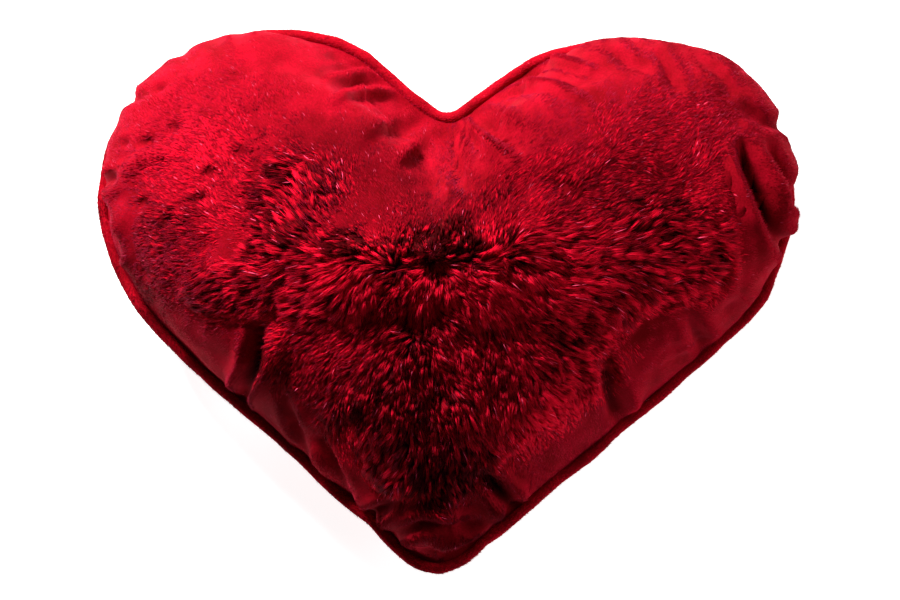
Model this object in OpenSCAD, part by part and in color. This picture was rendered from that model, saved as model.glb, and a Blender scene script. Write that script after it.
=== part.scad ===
// Heart-shaped plush cushion with a piped edge, a zipped cover and a stuffed inner pad.
// It lies on its back: +Z runs out of the front, +Y points to the notch between the lobes,
// and the origin is under the middle of the cushion, on the surface it rests on.

/* [Heart outline] */
// Half of the distance between the centres of the two lobes
lobe_x = 101; // [96:1:106]
// Radius of each lobe, to the outside of the piping
lobe_r = 99; // [95:1:102]
// Distance from the lobe centres down to the centre of the rounded tip
tip_drop = 166; // [160:1:172]
// Radius of the tip, to the outside of the piping
tip_r = 40; // [36:1:44]
// Slope of the two edges that run down into the notch, in degrees
notch_slope = 36; // [33:1:38]
// Radius of the rounded bottom of the notch
notch_r = 10; // [8:1:14]

/* [Thickness] */
// Height of the side seam above the surface the cushion rests on
seam_z = 46; // [42:1:50]
// Height of the top of the front
front_z = 120; // [112:1:126]
// Thickness of the front with its pile, in the middle
front_t = 8; // [6:0.5:10]
// Thickness of the back with its pile pressed flat
back_t = 5; // [4:0.5:6]
// Size of the flat patch that the back rests on, as a share of the outline
flat_share = 0.62; // [0.55:0.01:0.68]

/* [Piping and seam] */
// Radius of the piping, over its pile
piping_r = 3.8; // [3.4:0.1:4]
// Radius of the cord inside the piping
cord_r = 1.9; // [1.6:0.1:2]
// Depth of the seam allowance inside the cover, from the outer edge
allowance = 15; // [14:0.5:16]
// Thickness of the bare fabric in the seam allowance
cloth_t = 0.8; // [0.6:0.1:1]
// Radius of the sewing thread
thread_r = 0.25; // [0.2:0.05:0.3]

/* [Inner pad] */
// Gap from the outer edge of the cushion to the seam of the inner pad
pad_inset = 19; // [18.5:0.5:22]
// Thickness of the inner pad's cotton case
pad_t = 0.8; // [0.6:0.1:1]
// Number of hand stitches that close the inner pad
hand_stitches = 14; // [8:1:18]

/* [Zip] */
// Length of the zip's chain
chain_l = 144; // [120:2:150]
// Slope of the band of cover that holds the zip, in degrees from level
zip_tilt = 62; // [60:1:64]
// Distance from the seam down the band to the middle of the zip
zip_y = 9.6; // [9.4:0.1:10.2]
// How far the zip lies below the surface of the cover
zip_sink = 2; // [1.8:0.1:2.4]
// Distance from one coil loop to the next along one side of the zip
coil_pitch = 2.2; // [2.2:0.1:2.6]
// Gap between the heads of the two coils, where the slider's neck passes
coil_gap = 1.2; // [1.2:0.1:1.4]
// Length of the slider's body
slider_l = 10; // [9:0.5:11]
// Length of the pull tab from its pivot to its end
tab_l = 21; // [18:1:22]

/* [Hidden] */

$fn = 48;
plush_red = "#b3081f";
deep_red = "#7d0616";
thread_red = "#8f1024";
cotton = "#efe9dc";
nickel = "#b9babd";

// Places of the lobes, the tip and the notch fillet
lobe_y = (tip_drop + tip_r - lobe_r) / 2;
tip_y = lobe_y - tip_drop;
flank_a = 90 + notch_slope;
side_a = atan2(tip_drop, lobe_x) - 90 - asin((lobe_r - tip_r) / norm([lobe_x, tip_drop]));
notch_y = (lobe_x * cos(flank_a) + lobe_y * sin(flank_a) + lobe_r + notch_r) / sin(flank_a);
lobe_c = [lobe_x, lobe_y];
tip_c = [0, tip_y];
notch_c = [0, notch_y];

// Where the panels start, just inside the piping
rim_t = 2 * piping_r + 0.3;
// Half of the room that the piping's own allowance takes in the seam
seam_gap = cloth_t;
// Distance from the edge of the panels to the line of stitches
stitch_in = 5.2;
// Fit between pieces that lie against each other
fit = 0.4;
// Rings of each dome and the shape of its section
rings = 8;
ring_spread = 1.7;
front_p = 2.4;
front_q = 0.62;
back_p = 2;
back_q = 0.85;

// Zip details
tape_t = 0.6;
tape_edge = 1.2;
tape_top = 2.6;
tape_w = 21.8;
tape_over = 6;
coil_w = 2.6;
coil_h = 2.2;
wire_t = 0.6;
loop_t = 0.9;
stop_l = 2.6;
end_gap = 0.4;
slot_over = 8;
slot_top = 5;
slot_low = 17.6;
slot_deep = 12;
plate_t = 0.9;
slip = 0.3;
slider_w = 4.3;
rail_t = 0.85;
neck_t = 0.7;
bail_in = 1.9;
bail_out = 2.7;
bail_w = 1.6;
pivot_r = 0.5;
tab_t = 1;
tab_w = 5.4;
window_w = 2.4;
window_l = 4.4;

function dir(a) = [cos(a), sin(a)];

// One point of the outline: its place on the outer edge, then its outward direction
function on_arc(centre, r, a) = concat(centre + r * dir(a), dir(a));

function on_line(p, q, a, k) = concat(p + (q - p) * k, dir(a));

// The right half of the outline, from the tip to the notch
half = concat(
    [for (i = [0:4]) on_arc(tip_c, tip_r, -90 + (side_a + 90) * i / 5)],
    [for (i = [0:9]) on_line(tip_c + tip_r * dir(side_a), lobe_c + lobe_r * dir(side_a), side_a, i / 10)],
    [for (i = [0:19]) on_arc(lobe_c, lobe_r, side_a + (flank_a - side_a) * i / 20)],
    [for (i = [0:3]) on_line(lobe_c + lobe_r * dir(flank_a), notch_c - notch_r * dir(flank_a), flank_a, i / 4)],
    [for (i = [0:3]) concat(notch_c - notch_r * dir(flank_a - notch_slope * i / 3), dir(flank_a - notch_slope * i / 3))]
);

function mirrored(p) = [-p[0], p[1], -p[2], p[3]];

// The whole outline, anticlockwise
rim = concat(half, [for (i = [len(half) - 2:-1:1]) mirrored(half[i])]);

// A ring of points: the outline moved in by t, then shrunk to a share s of itself, at height z
function ring(t, s, z) = [for (p = rim) [s * (p[0] - t * p[2]), s * (p[1] - t * p[3]), z]];

function share(k) = 1 - pow(k / rings, ring_spread);

function front_rise(s) = pow(1 - pow(s, front_p), front_q);

// How far down the back has come at share s: 0 at the seam and 1 on the flat patch
function back_fall(s) = pow(1 - pow(max(0, (s - flat_share) / (1 - flat_share)), back_p), back_q);

function back_share(k) = 1 - (1 - flat_share) * pow(k / rings, ring_spread);

// Sections of the domes, as [inset, share, height], from the rim to the middle
function front_section(t, low, high) =
    [for (k = [0:rings - 1]) [t, share(k), low + (high - low) * front_rise(share(k))]];

function back_section(t, high, low) =
    [for (k = [0:rings]) [t, back_share(k), high - (high - low) * back_fall(back_share(k))]];

function reversed(v) = [for (i = [len(v) - 1:-1:0]) v[i]];

// A closed solid whose skin runs from a first point in the middle, through rings that follow
// the section, to a last point in the middle
module ringed(first_z, section, last_z) {
    n = len(rim);
    m = len(section);
    points = concat(
        [[0, 0, first_z]],
        [for (c = section) each ring(c[0], c[1], c[2])],
        [[0, 0, last_z]]
    );
    caps = [for (i = [0:n - 1]) let (j = (i + 1) % n)
        each [[0, j + 1, i + 1], [m * n + 1, (m - 1) * n + i + 1, (m - 1) * n + j + 1]]];
    bands = [for (k = [0:m - 2]) for (i = [0:n - 1])
        let (j = (i + 1) % n, a = k * n + i + 1, b = k * n + j + 1, c = a + n, d = b + n)
        each [[a, b, d], [a, d, c]]];
    polyhedron(points = points, faces = concat(caps, bands), convexity = 6);
}

// A closed hoop round the whole outline. Its section is a list of [inset, height] points.
module hooped(section) {
    n = len(rim);
    m = len(section);
    points = [for (p = rim) for (c = section) [p[0] - c[0] * p[2], p[1] - c[0] * p[3], c[1]]];
    faces = [for (i = [0:n - 1]) for (k = [0:m - 1])
        let (a = i * m + k, b = i * m + (k + 1) % m, c = (i + 1) % n * m + k, d = (i + 1) % n * m + (k + 1) % m)
        each [[a, d, b], [a, c, d]]];
    polyhedron(points = points, faces = faces, convexity = 8);
}

// Points on a round section, from one angle to another
function round_section(t, z, r, from, to, n) =
    [for (i = [0:n - 1]) let (a = from + (to - from) * i / (n - 1)) [t + r * cos(a), z + r * sin(a)]];

function wire_section(t, z, r, n) = round_section(t, z, r, 0, 360 * (n - 1) / n, n);

// The frame of the band under the straight right side: +X runs from the tip to the lobe,
// +Y up the band to the seam, and +Z straight out of the cover
module on_band() {
    middle = (tip_c + lobe_c + (tip_r + lobe_r - 2 * rim_t) * dir(side_a)) / 2;
    translate([middle[0], middle[1], seam_z])
        rotate([0, 0, side_a + 90])
            rotate([180 - zip_tilt, 0, 0])
                children();
}

// The frame of the zip itself, with the outside of its tapes at z = 0
module on_zip() {
    on_band()
        translate([0, -zip_y, -zip_sink])
            children();
}

// The frame of the slider: its centre, at the closed end of the chain
module on_slider() {
    on_zip()
        translate([chain_l / 2 - slider_l / 2 - 1, 0, 0])
            children();
}

// A box between two corners
module block(low, high) {
    translate(low)
        cube(high - low);
}

module front_panel() {
    low = seam_z + seam_gap;
    dome = front_section(rim_t, low, front_z);
    lining = front_section(rim_t + 1.2, low + cloth_t, front_z - front_t);
    flange = [[allowance, 1, low], [allowance, 1, low + cloth_t]];
    color(plush_red)
        ringed(front_z, concat(reversed(dome), flange, lining), front_z - front_t);
}

module back_panel() {
    high = seam_z - seam_gap;
    dome = back_section(rim_t, high, 0);
    lining = back_section(rim_t + 1.2, high - cloth_t, back_t);
    flange = [[allowance, 1, high - cloth_t], [allowance, 1, high]];
    half_slot = chain_l / 2 + slot_over;
    color(plush_red)
        difference() {
            ringed(back_t, concat(reversed(lining), flange, dome), 0);
            on_band() {
                block([-half_slot, -slot_low, -slot_deep], [half_slot, slot_top, slot_deep]);
                block([-half_slot, -tape_w - 1, -slot_deep], [half_slot, -slot_low + 1, slip - zip_sink]);
            }
        }
}

// One strip of plush, folded round the cord, with its two edges side by side in the seam
module piping_cover() {
    half_strip = seam_gap - 0.1;
    slit = 0.05;
    outer_a = asin(half_strip / piping_r);
    inner_a = asin(slit / (cord_r + 0.2));
    outside = round_section(piping_r, seam_z, piping_r, outer_a, 360 - outer_a, 13);
    inside = round_section(piping_r, seam_z, cord_r + 0.2, 360 - inner_a, inner_a, 9);
    lower_edge = [[allowance, seam_z - half_strip], [allowance, seam_z - slit]];
    upper_edge = [[allowance, seam_z + slit], [allowance, seam_z + half_strip]];
    color(deep_red)
        hooped(concat(outside, lower_edge, inside, upper_edge));
}

module piping_cord() {
    color(cotton)
        hooped(wire_section(piping_r, seam_z, cord_r, 8));
}

module cover_seam_thread() {
    up = seam_gap + cloth_t + thread_r + 0.05;
    color(thread_red)
        for (z = [seam_z - up, seam_z + up])
            hooped(wire_section(rim_t + stitch_in, z, thread_r, 4));
}

module tape(low, high) {
    half_tape = chain_l / 2 + tape_over;
    color(deep_red)
        on_zip()
            block([-half_tape, low, -tape_t], [half_tape, high, 0]);
}

module zip_tape_upper() {
    tape(tape_edge, zip_y - tape_top);
}

module zip_tape_lower() {
    tape(zip_y - tape_w, -tape_edge);
}

// A long round-ended shape, centred
module stadium(w, h) {
    square([w - h, h], center = true);
    for (x = [-1, 1])
        translate([x * (w - h) / 2, 0])
            circle(h / 2, $fn = 24);
}

// One side of the zip: upright loops of nylon, each sitting on the tape
module coil(side, shift) {
    count = floor((chain_l - coil_pitch) / coil_pitch);
    color(deep_red)
        on_zip()
            for (i = [0:count])
                translate([-chain_l / 2 + shift + i * coil_pitch, side * (coil_gap + coil_w) / 2, coil_h / 2])
                    rotate([90, 0, 90])
                        linear_extrude(loop_t)
                            difference() {
                                stadium(coil_w, coil_h);
                                stadium(coil_w - 2 * wire_t, coil_h - 2 * wire_t);
                            }
}

module zip_coil_upper() {
    coil(1, 0.2);
}

module zip_coil_lower() {
    coil(-1, 0.2 + coil_pitch / 2);
}

module zip_filler_cords() {
    cord_h = (coil_h - 2 * wire_t) / 2;
    color(cotton)
        on_zip()
            for (side = [-1, 1])
                translate([-chain_l / 2, side * (coil_gap + coil_w) / 2, coil_h / 2])
                    rotate([0, 90, 0])
                        cylinder(r = cord_h - 0.1, h = chain_l);
}

module zip_top_stops() {
    start = chain_l / 2 + end_gap;
    color(nickel)
        on_zip()
            for (side = [0, 1])
                mirror([0, side, 0])
                    block([start, coil_gap / 2, 0], [start + stop_l, coil_gap / 2 + coil_w, coil_h]);
}

module zip_bottom_stop() {
    start = -chain_l / 2 - end_gap;
    reach = coil_gap / 2 + coil_w;
    color(nickel)
        on_zip()
            block([start - stop_l, -reach, 0], [start, reach, coil_h]);
}

module zip_stitching() {
    pitch = 3.2;
    stitch_l = 2.4;
    count = floor(chain_l / pitch / 2);
    color(thread_red)
        on_zip()
            for (y = [-5.8, 5.8])
                for (i = [-count:count])
                    translate([i * pitch - stitch_l / 2, y, thread_r + 0.02])
                        rotate([0, 90, 0])
                            cylinder(r = thread_r, h = stitch_l, $fn = 16);
}

// The outline that both plates of the slider share
module slider_outline() {
    front = slider_l / 2;
    polygon([[-front, -slider_w + 0.4], [-front + 1, -slider_w], [front - 3, -slider_w], [front, -2.4],
        [front, 2.4], [front - 3, slider_w], [-front + 1, slider_w], [-front, slider_w - 0.4]]);
}

module zip_slider() {
    top = coil_h + slip;
    low = -tape_t - slip;
    front = slider_l / 2;
    color(nickel)
        on_slider() {
            translate([0, 0, top])
                linear_extrude(plate_t)
                    slider_outline();
            translate([0, 0, low - plate_t])
                linear_extrude(plate_t)
                    slider_outline();
            for (side = [0, 1])
                mirror([0, side, 0])
                    block([1 - front, slider_w - rail_t, slip], [front - 3, slider_w, top + plate_t / 2]);
            block([front - 3.2, -neck_t / 2, low - plate_t / 2], [front - 0.6, neck_t / 2, top + plate_t / 2]);
            translate([0, bail_w / 2, top + plate_t])
                rotate([90, 0, 0])
                    linear_extrude(bail_w)
                        bail_outline();
        }
}

// The arch that holds the pull tab, with feet that sink into the plate
module bail_outline() {
    difference() {
        circle(bail_out);
        circle(bail_in);
        translate([-bail_out, -2 * bail_out - plate_t / 2])
            square([2 * bail_out, 2 * bail_out]);
    }
}

// Height of the pull tab's pivot over the slider's top plate
pivot_h = bail_in / 2;

module zip_pull_tab() {
    pivot_z = coil_h + slip + plate_t + pivot_h;
    end_r = tab_w / 2;
    color(nickel)
        on_slider()
            translate([0, 0, pivot_z]) {
                rotate([90, 0, 0])
                    cylinder(r = pivot_r, h = tab_w, center = true);
                translate([0, 0, -tab_t / 2])
                    linear_extrude(tab_t)
                        difference() {
                            union() {
                                translate([end_r - tab_l, -end_r])
                                    square([tab_l - end_r, tab_w]);
                                translate([end_r - tab_l, 0])
                                    circle(end_r);
                            }
                            translate([-window_l, -window_w / 2])
                                square([window_l + 1, window_w]);
                            translate([end_r - tab_l, 0])
                                circle(end_r - 1.4);
                        }
            }
}

module care_label() {
    label_w = 22;
    label_l = 30;
    lift = 2.4;
    color(cotton)
        mirror([1, 0, 0])
            on_band()
                block([20, -label_l, lift], [20 + label_w, -2, lift + 0.6]);
}

module pad_front() {
    low = seam_z + 0.15;
    top = front_z - front_t - fit;
    case = front_section(pad_inset, low, top);
    lining = front_section(pad_inset + pad_t, low, top - pad_t);
    color(cotton)
        ringed(top, concat(reversed(case), lining), top - pad_t);
}

module pad_back() {
    high = seam_z - 0.15;
    floor_z = back_t + fit;
    case = back_section(pad_inset, high, floor_z);
    lining = back_section(pad_inset + pad_t, high, floor_z + pad_t);
    color(cotton)
        ringed(floor_z + pad_t, concat(reversed(lining), case), floor_z);
}

module pad_seam_thread() {
    color("white")
        hooped(wire_section(pad_inset - thread_r - 0.25, seam_z, thread_r, 4));
}

// Whip stitches over the seam on the left side, where the pad was stuffed
module pad_closing_stitches() {
    pitch = 6;
    across = 3.6;
    t = pad_inset - 3 * thread_r - 0.6;
    middle = (tip_c + lobe_c + (tip_r + lobe_r - 2 * t) * dir(side_a)) / 2;
    color("white")
        mirror([1, 0, 0])
            translate([middle[0], middle[1], seam_z])
                rotate([0, 0, side_a + 90])
                    for (i = [1:hand_stitches])
                        translate([(i - (hand_stitches + 1) / 2) * pitch, 0, 0])
                            rotate([0, 35, 0])
                                cylinder(r = thread_r, h = across, center = true, $fn = 16);
}

module fibre_fill() {
    inset = pad_inset + pad_t + fit;
    top = front_z - front_t - 2 * fit - pad_t;
    floor_z = back_t + 2 * fit + pad_t;
    upper = front_section(inset, seam_z, top);
    lower = back_section(inset, seam_z, floor_z);
    color("white")
        ringed(top, concat(reversed(upper), [for (i = [1:len(lower) - 1]) lower[i]]), floor_z);
}

front_panel();
back_panel();
piping_cover();
piping_cord();
cover_seam_thread();
zip_tape_upper();
zip_tape_lower();
zip_coil_upper();
zip_coil_lower();
zip_filler_cords();
zip_top_stops();
zip_bottom_stop();
zip_stitching();
zip_slider();
zip_pull_tab();
care_label();
pad_front();
pad_back();
pad_seam_thread();
pad_closing_stitches();
fibre_fill();
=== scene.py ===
"""Looks of the heart-shaped plush cushion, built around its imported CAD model.

Lengths are in millimetres, in the CAD frame, until a mesh is made.
"""

import math

import bpy
import numpy as np
from mathutils import Matrix, Vector


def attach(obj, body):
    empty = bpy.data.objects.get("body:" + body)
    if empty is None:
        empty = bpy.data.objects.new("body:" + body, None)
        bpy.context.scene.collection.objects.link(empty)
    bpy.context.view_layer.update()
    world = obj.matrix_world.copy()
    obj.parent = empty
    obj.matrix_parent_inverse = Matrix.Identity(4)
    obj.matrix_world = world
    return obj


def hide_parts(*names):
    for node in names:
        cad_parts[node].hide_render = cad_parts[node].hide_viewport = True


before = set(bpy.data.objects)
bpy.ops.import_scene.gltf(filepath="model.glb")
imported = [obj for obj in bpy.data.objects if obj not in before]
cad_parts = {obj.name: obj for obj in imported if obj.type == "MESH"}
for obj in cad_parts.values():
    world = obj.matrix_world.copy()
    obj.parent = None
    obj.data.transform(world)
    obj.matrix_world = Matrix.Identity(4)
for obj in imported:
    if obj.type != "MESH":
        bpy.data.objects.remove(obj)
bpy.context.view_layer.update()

MM = 0.001

# ---- Sizes, as in the CAD ----
LOBE = np.array([101.0, 53.5])
LOBE_R = 99.0
TIP = np.array([0.0, -112.5])
TIP_R = 40.0
NOTCH_SLOPE = math.radians(36)
NOTCH_R = 10.0
SEAM_Z = 46.0
RIM_INSET = 7.9
FLAT_SHARE = 0.62
ZIP_TILT = math.radians(62)
SLOT_HALF = 80.0
# Which way the straight side between the tip and the right lobe faces
SIDE_A = math.atan2((LOBE - TIP)[1], (LOBE - TIP)[0]) - math.pi / 2
SIDE_A -= math.asin((LOBE_R - TIP_R) / np.linalg.norm(LOBE - TIP))

# ---- Sizes of the looks ----
# Points of each panel's grid: round the outline, and in from the seam
AROUND = 720
FRONT_RINGS = 90
BACK_RINGS = 60
LINING_RINGS = 26
# Height of the crown over the seam, and thickness of the cloth
CROWN = 62.0
CLOTH = 1.0
# Height of the back's outer side over the floor, which leaves room for its pile
FLOOR_CLOTH = 2.2
CENTRE = np.array([0.0, 18.0])
# How far inside the outline the panels start
FRONT_START = 5.8
# The room between the two panels at the seam
SEAM_HALF = 0.4


# ---- Small tools ----
def unit(angle):
    return np.array([math.cos(angle), math.sin(angle)])


def normalised(v):
    return v / np.maximum(np.linalg.norm(v, axis=-1, keepdims=True), 1e-9)


def smooth(value, low, high):
    """0 below low, 1 above high, and a smooth step between them."""
    t = np.clip((value - low) / (high - low), 0, 1)
    return t * t * (3 - 2 * t)


def waves(points, size, seed, count=9):
    """Smooth seeded noise of about -1 to 1, made of waves of about that size in mm."""
    rng = np.random.default_rng(seed)
    total = np.zeros(points.shape[:-1])
    for _ in range(count):
        way = rng.normal(size=points.shape[-1])
        way *= 2 * math.pi / (np.linalg.norm(way) * size * rng.uniform(0.7, 1.4))
        total += np.sin(points @ way + rng.uniform(0, 2 * math.pi))
    return total / math.sqrt(count)


# ---- Outline ----
def outline():
    """The outer edge of the piping, anticlockwise from the tip: places, outward directions
    and lengths along it."""
    flank_a = math.pi / 2 + NOTCH_SLOPE
    notch_y = (LOBE @ unit(flank_a) + LOBE_R + NOTCH_R) / math.sin(flank_a)
    notch = np.array([0.0, notch_y])
    rows = []
    # arcs of the tip, the lobe and the notch. The straight side is the step between the first two.
    for a in np.linspace(-math.pi / 2, SIDE_A, 60):
        rows.append((*(TIP + TIP_R * unit(a)), a))
    for a in np.linspace(SIDE_A, flank_a, 400):
        rows.append((*(LOBE + LOBE_R * unit(a)), a))
    for a in np.linspace(flank_a, math.pi / 2, 30):
        rows.append((*(notch - NOTCH_R * unit(a)), a))
    half = np.array(rows)
    left = half[-2:0:-1] * [-1, 1, -1] + [0, 0, math.pi]
    loop = np.vstack([half, left, half[:1] + [0, 0, 2 * math.pi]])
    steps = np.linalg.norm(np.diff(loop[:, :2], axis=0), axis=1)
    length = np.concatenate([[0], np.cumsum(steps)])
    at = np.arange(AROUND) * length[-1] / AROUND
    x, y, a = (np.interp(at, length, loop[:, k]) for k in range(3))
    return np.column_stack([x, y]), np.column_stack([np.cos(a), np.sin(a)]), at, length[-1]


# How far the sewn outline strays from the true heart, in mm, at angles seen from its middle.
# It is nothing along the zip.
STRAY = [
    (-79, 0), (-8, 0), (4, -3), (14, -3), (22, -2), (30, -4), (38, -2), (45, -5), (54, -6), (63, -5),
    (72, 0.8), (84, 1.5), (99, 0), (108, 4.5), (117, 0.8), (126, -1), (135, -2.6), (148, -1.6), (156, 1.4),
    (168, 1), (180, -1), (189, 2), (198, 3.6), (206, 3), (216, 1.6), (228, 0.8), (243, 2), (252, 0.6),
    (261, 2.6), (270, 5), (277, 2.6), (281, 0),
]


def strayed(edge):
    """The outline with its stray."""
    angle = np.degrees(np.arctan2(edge[:, 1], edge[:, 0]))
    places = [a for a, _ in STRAY]
    values = [v for _, v in STRAY]
    return edge + normalised(edge) * np.interp(angle, places, values, period=360)[:, None]


TRUE_EDGE, OUT, ALONG, PERIMETER = outline()
EDGE = strayed(TRUE_EDGE)


def along_table(rows):
    """Values set at lengths along the outline from the tip, positive up the right side and
    negative up the left side, joined smoothly all the way round."""
    rows = sorted(rows)
    at = np.where(ALONG > PERIMETER / 2, ALONG - PERIMETER, ALONG)
    places = [r[0] for r in rows]
    values = [r[1] for r in rows]
    joined = np.interp(at, places, values, period=PERIMETER)
    width = 9
    window = np.hanning(2 * width + 1)
    window /= window.sum()
    wrapped = np.concatenate([joined[-width:], joined, joined[:width]])
    return np.convolve(wrapped, window, mode="valid")


# ---- Cover: the two panels as grids of points round the outline ----
def front_base():
    """The front panel before its folds, as rings from the seam to the middle. Its section
    rises from the seam, and leans out over the piping round the lobes."""
    start = EDGE - FRONT_START * OUT
    middle = CENTRE - start
    reach = np.linalg.norm(middle, axis=1)
    inward = middle / reach[:, None]
    crown = CROWN + along_table(CROWN_EXTRA)
    seam = np.zeros(AROUND)
    across_at = [seam, along_table(LOW_LEAN), along_table(HIGH_LEAN), along_table(FLAT_FROM) * reach, reach]
    height_at = [seam, 0.36 * crown, 0.9 * crown, crown, np.full(AROUND, CROWN)]
    t = np.append(np.linspace(0, 1, FRONT_RINGS)[:-1] ** 1.1, 0.997)
    across = np.zeros((AROUND, FRONT_RINGS))
    up = np.zeros((AROUND, FRONT_RINGS))
    # a Bezier curve with five controls
    for k in range(5):
        share = math.comb(4, k) * t**k * (1 - t) ** (4 - k)
        across += across_at[k][:, None] * share
        up += height_at[k][:, None] * share
    across += along_table(GROOVE)[:, None] * (1 - np.exp(-up / 1.6))
    # near the seam the section runs straight in from the outline; further in, to the centre
    turn = smooth(across, 0, 60)[:, :, None]
    way = normalised(-OUT[:, None, :] * (1 - turn) + inward[:, None, :] * turn)
    radial = start[:, None, :] + inward[:, None, :] * across[:, :, None]
    direct = start[:, None, :] + way * across[:, :, None]
    xy = direct * (1 - turn) + radial * turn
    return np.dstack([xy, SEAM_Z + SEAM_HALF + up])


def zip_range():
    """1 along the zip's slot and 0 elsewhere."""
    middle = (TRUE_EDGE - MIDDLE_OF_SIDE) @ unit(SIDE_A + math.pi / 2)
    near = (TRUE_EDGE - MIDDLE_OF_SIDE) @ unit(SIDE_A) > -4
    return np.where(near, 1 - smooth(np.abs(middle), SLOT_HALF - 2, SLOT_HALF + 1), 0)


def back_base():
    """The back panel: down from the seam, or from the zip's slot, to the flat patch it lies on."""
    ring = EDGE - (FRONT_START + (RIM_INSET - FRONT_START) * SLOT[:, None]) * OUT
    # along the slot the panel starts lower down, under the tape
    open_to = 1 - 0.072 * SLOT
    k = np.linspace(0, 1, BACK_RINGS + 1)[:-1]
    share = open_to[:, None] * (1 - k[None, :] ** 1.25)
    q = np.clip((share - FLAT_SHARE) / (1 - FLAT_SHARE), 0, 1)
    down = (1 - q**2) ** 0.85
    z = (SEAM_Z - SEAM_HALF) * (1 - down) + FLOOR_CLOTH * down
    xy = ring[:, None, :] * share[:, :, None]
    grid = np.dstack([xy, z])
    # its first two rings there turn in to the tape
    grid[:, 0] -= 2.4 * SLOT[:, None] * BAND_OUT
    grid[:, 1] -= 0.9 * SLOT[:, None] * BAND_OUT
    return grid


# The middle of the right side, at the panels' rim
MIDDLE_OF_SIDE = (TIP + LOBE + (TIP_R + LOBE_R - 2 * RIM_INSET) * unit(SIDE_A)) / 2

# Directions on the sloping band under the right side: along it to the lobe, up it, and out
BAND_ALONG = np.array([*unit(SIDE_A + math.pi / 2), 0])
BAND_UP = np.array([*(unit(SIDE_A) * math.cos(ZIP_TILT)), math.sin(ZIP_TILT)])
BAND_OUT = np.array([*(unit(SIDE_A) * math.sin(ZIP_TILT)), -math.cos(ZIP_TILT)])
BAND_START = np.array([*MIDDLE_OF_SIDE, SEAM_Z])
# The care label on the band under the left side
LABEL_MIDDLE = 31.0
LABEL_WIDE = 22.0
LABEL_LONG = 30.0
LABEL_THICK = 0.6
# The end of the pull tab on the band when the zip is open, and how far out the cloth is under it
TAB_ALONG = -84.0
TAB_UP = -9.6
TAB_BED = 0.2


def on_band(along, up, out, mirror=1):
    """Places given along, up and out of the band, on the right side or mirrored on the left."""
    place = BAND_START + along[..., None] * BAND_ALONG + up[..., None] * BAND_UP
    return (place + out[..., None] * BAND_OUT) * [mirror, 1, 1]


def under_label(places):
    """1 under the care label on the left side, and 0 elsewhere."""
    away = places * [-1, 1, 1] - BAND_START
    beside = np.abs(away @ BAND_ALONG - LABEL_MIDDLE)
    down = -(away @ BAND_UP)
    near = 1 - smooth(np.abs(away @ BAND_OUT), 6, 10)
    return (1 - smooth(beside, 10.5, 12.5)) * (1 - smooth(down, 29, 32)) * near


def under_tab(places):
    """1 where the pull tab's end lies when the zip is open, and 0 elsewhere."""
    away = places - BAND_START
    beside = np.abs(away @ BAND_UP - TAB_UP)
    from_end = np.abs(away @ BAND_ALONG - TAB_ALONG)
    near = 1 - smooth(np.abs(away @ BAND_OUT), 6, 10)
    return (1 - smooth(beside, 4.5, 9)) * (1 - smooth(from_end, 6, 11)) * near


# How far in from the seam the front stands at a third and at most of its height: below 0 it
# leans out over the piping
LOW_LEAN = [
    (0, 4), (30, 3), (120, 2), (190, 1), (250, -2), (280, -12), (300, -22), (370, -25), (430, -19),
    (465, -11), (485, -3), (505, 8), (525, 20),
    (-30, 3), (-120, 3), (-210, 3), (-290, 2), (-330, -5), (-370, -13), (-430, -12), (-465, -3),
    (-495, 6), (-520, 18),
]
HIGH_LEAN = [
    (0, 13), (30, 12), (120, 13), (190, 9), (250, 4), (290, -6), (340, -11), (430, -8), (465, -1),
    (485, 8), (505, 26), (525, 48),
    (-30, 12), (-120, 13), (-210, 11), (-290, 9), (-340, 2), (-400, -3), (-440, 0), (-470, 8),
    (-495, 20), (-520, 46),
]
# Width of the groove between the panel and the piping
GROOVE = [
    (0, 3.2), (60, 2.4), (180, 1.6), (230, 0), (440, 0), (490, 1.0), (525, 0.6),
    (-60, 2.8), (-180, 2.6), (-300, 1.4), (-400, 0.4), (-440, 0.4), (-490, 1.2),
]
# Where the crown flattens, as a share of the way to the centre
FLAT_FROM = [
    (0, 0.40), (60, 0.34), (150, 0.30), (300, 0.32), (420, 0.34), (480, 0.42), (525, 0.62),
    (-60, 0.34), (-150, 0.30), (-300, 0.32), (-420, 0.34), (-480, 0.42), (-525, 0.62),
]
# How much higher than the centre the crown is
CROWN_EXTRA = [
    (0, -15), (60, -7), (150, 0), (300, 2), (420, 2), (490, -1), (530, -8),
    (-60, -7), (-150, 0), (-300, 2), (-420, 2), (-490, -1),
]
SLOT = zip_range()


def normals_of(grid, facing):
    """Outward directions of a panel's grid. Facing is 1 for the front and -1 for the back."""
    round_it = np.roll(grid, -1, axis=0) - np.roll(grid, 1, axis=0)
    inward = np.gradient(grid, axis=1)
    return facing * normalised(np.cross(round_it, inward))


def triangles(rows, columns, first=0, closed=True):
    """Triangles of a grid whose points are numbered row by row, with the rows in a loop."""
    i = np.arange(rows if closed else rows - 1)
    j = np.arange(columns - 1)
    i, j = (g.ravel() for g in np.meshgrid(i, j, indexing="ij"))
    n = (i + 1) % rows
    a, b = i * columns + j, n * columns + j
    c, d = b + 1, a + 1
    return np.vstack([np.column_stack([a, b, c]), np.column_stack([a, c, d])]) + first


def fan(rows, columns, middle, first=0):
    """Triangles from the last ring of a grid to one point in its middle."""
    a = np.arange(rows) * columns + columns - 1
    return np.column_stack([a + first, np.roll(a, -1) + first, np.full(rows, middle)])


def sheet_faces(rows, columns):
    """Triangles of a grid that is closed at both ends, at two points numbered after its own."""
    top = rows * columns
    first = np.arange(rows) * columns
    return np.vstack([
        triangles(rows, columns)[:, ::-1],
        fan(rows, columns, top + 1)[:, ::-1],
        np.column_stack([first, np.roll(first, -1), np.full(rows, top)]),
    ])


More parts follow.
